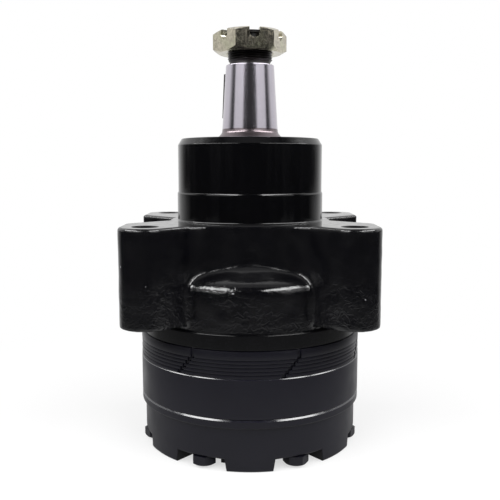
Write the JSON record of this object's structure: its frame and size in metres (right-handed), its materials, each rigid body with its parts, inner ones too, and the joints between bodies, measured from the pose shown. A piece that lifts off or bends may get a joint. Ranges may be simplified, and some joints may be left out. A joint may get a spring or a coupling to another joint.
{
  "type": "hydraulic motor",
  "caption": "Wheel-mount orbital hydraulic motor with four square ears, a round pilot, a laminated manifold, a castellated end cover and a tapered keyed shaft with a slotted nut.",
  "frame": {"origin": "centre of the end cover's lowest face, on the shaft's axis", "axes": "+Z along the output shaft towards the nut; X and Y square to the four ears, with the ports at the back, towards +Y"},
  "size_m": [0.1344, 0.1344, 0.2327],
  "materials": {
    "black_paint": "gloss black enamel over cast iron",
    "satin_black": "satin black enamel over machined steel",
    "ground_steel": "ground",
    "dark_steel": "oiled, heat treated",
    "yellow_zinc": "yellow zinc plate",
    "bearing_steel": "lapped",
    "seal_rubber": "smooth",
    "bronze": "turned"
  },
  "bodies": {
    "root": {"housing": "black_paint", "cover_bolt_1": "black_paint", "cover_bolt_2": "black_paint", "cover_bolt_3": "black_paint", "cover_bolt_4": "black_paint", "cover_bolt_5": "black_paint", "cover_bolt_6": "black_paint", "cover_bolt_7": "black_paint", "end_cover": "satin_black", "rotor_ring": "satin_black", "wear_plate": "satin_black", "manifold_plate_1": "satin_black", "manifold_plate_2": "satin_black", "manifold_plate_3": "satin_black", "manifold_plate_4": "satin_black", "manifold_plate_5": "satin_black", "seal_backup_washer": "dark_steel", "snap_ring": "dark_steel", "thrust_washer": "bearing_steel", "front_bearing_race": "bearing_steel", "rear_bearing_race": "bearing_steel", "dust_seal": "seal_rubber", "shaft_seal": "seal_rubber", "cover_seal": "seal_rubber", "ring_seal": "seal_rubber"},
    "shaft": {"output_shaft": "ground_steel", "shaft_key": "dark_steel", "castle_nut": "yellow_zinc"},
    "orbit_carrier": {"link_wafer": "bronze"},
    "rotor": {"rotor": "bearing_steel"},
    "drive_link": {"drive_link": "dark_steel"},
    "front_rollers": {"front_bearing_rollers": "bearing_steel"},
    "rear_rollers": {"rear_bearing_rollers": "bearing_steel"},
    "thrust_rollers": {"thrust_bearing_rollers": "bearing_steel"},
    "rotor_roller_1": {"rotor_roller_1": "bearing_steel"},
    "rotor_roller_2": {"rotor_roller_2": "bearing_steel"},
    "rotor_roller_3": {"rotor_roller_3": "bearing_steel"},
    "rotor_roller_4": {"rotor_roller_4": "bearing_steel"},
    "rotor_roller_5": {"rotor_roller_5": "bearing_steel"},
    "rotor_roller_6": {"rotor_roller_6": "bearing_steel"},
    "rotor_roller_7": {"rotor_roller_7": "bearing_steel"}
  },
  "joints": [
    {"name": "shaft_spin", "type": "hinge", "parent": "root", "child": "shaft", "pos_m": [0, 0, 0.15], "axis": [0, 0, 1], "continuous": true},
    {"name": "rotor_orbit", "type": "hinge", "parent": "root", "child": "orbit_carrier", "pos_m": [0, 0, 0.0289], "axis": [0, 0, 1], "continuous": true},
    {"name": "rotor_spin", "type": "hinge", "parent": "orbit_carrier", "child": "rotor", "pos_m": [0, -0.0032, 0.0395], "axis": [0, 0, 1], "continuous": true},
    {"name": "link_spin", "type": "hinge", "parent": "orbit_carrier", "child": "drive_link", "pos_m": [0, 0, 0.091], "axis": [0, 0.062, 0.9981], "continuous": true},
    {"name": "front_rollers_roll", "type": "hinge", "parent": "root", "child": "front_rollers", "pos_m": [0, 0, 0.13], "axis": [0, 0, 1], "continuous": true},
    {"name": "rear_rollers_roll", "type": "hinge", "parent": "root", "child": "rear_rollers", "pos_m": [0, 0, 0.087], "axis": [0, 0, 1], "continuous": true},
    {"name": "thrust_rollers_roll", "type": "hinge", "parent": "root", "child": "thrust_rollers", "pos_m": [0, 0, 0.1063], "axis": [0, 0, 1], "continuous": true},
    {"name": "roller_1_spin", "type": "hinge", "parent": "root", "child": "rotor_roller_1", "pos_m": [0, -0.039, 0.0395], "axis": [0, 0, 1], "continuous": true},
    {"name": "roller_2_spin", "type": "hinge", "parent": "root", "child": "rotor_roller_2", "pos_m": [0.03049, -0.02432, 0.0395], "axis": [0, 0, 1], "continuous": true},
    {"name": "roller_3_spin", "type": "hinge", "parent": "root", "child": "rotor_roller_3", "pos_m": [0.03802, 0.00868, 0.0395], "axis": [0, 0, 1], "continuous": true},
    {"name": "roller_4_spin", "type": "hinge", "parent": "root", "child": "rotor_roller_4", "pos_m": [0.01692, 0.03514, 0.0395], "axis": [0, 0, 1], "continuous": true},
    {"name": "roller_5_spin", "type": "hinge", "parent": "root", "child": "rotor_roller_5", "pos_m": [-0.01692, 0.03514, 0.0395], "axis": [0, 0, 1], "continuous": true},
    {"name": "roller_6_spin", "type": "hinge", "parent": "root", "child": "rotor_roller_6", "pos_m": [-0.03802, 0.00868, 0.0395], "axis": [0, 0, 1], "continuous": true},
    {"name": "roller_7_spin", "type": "hinge", "parent": "root", "child": "rotor_roller_7", "pos_m": [-0.03049, -0.02432, 0.0395], "axis": [0, 0, 1], "continuous": true}
  ],
  "couplings": [
    {"joint": "rotor_orbit", "follows": "shaft_spin", "ratio": -6},
    {"joint": "rotor_spin", "follows": "shaft_spin", "ratio": 7},
    {"joint": "link_spin", "follows": "shaft_spin", "ratio": 7},
    {"joint": "front_rollers_roll", "follows": "shaft_spin", "ratio": 0.441},
    {"joint": "rear_rollers_roll", "follows": "shaft_spin", "ratio": 0.447},
    {"joint": "thrust_rollers_roll", "follows": "shaft_spin", "ratio": 0.5}
  ]
}
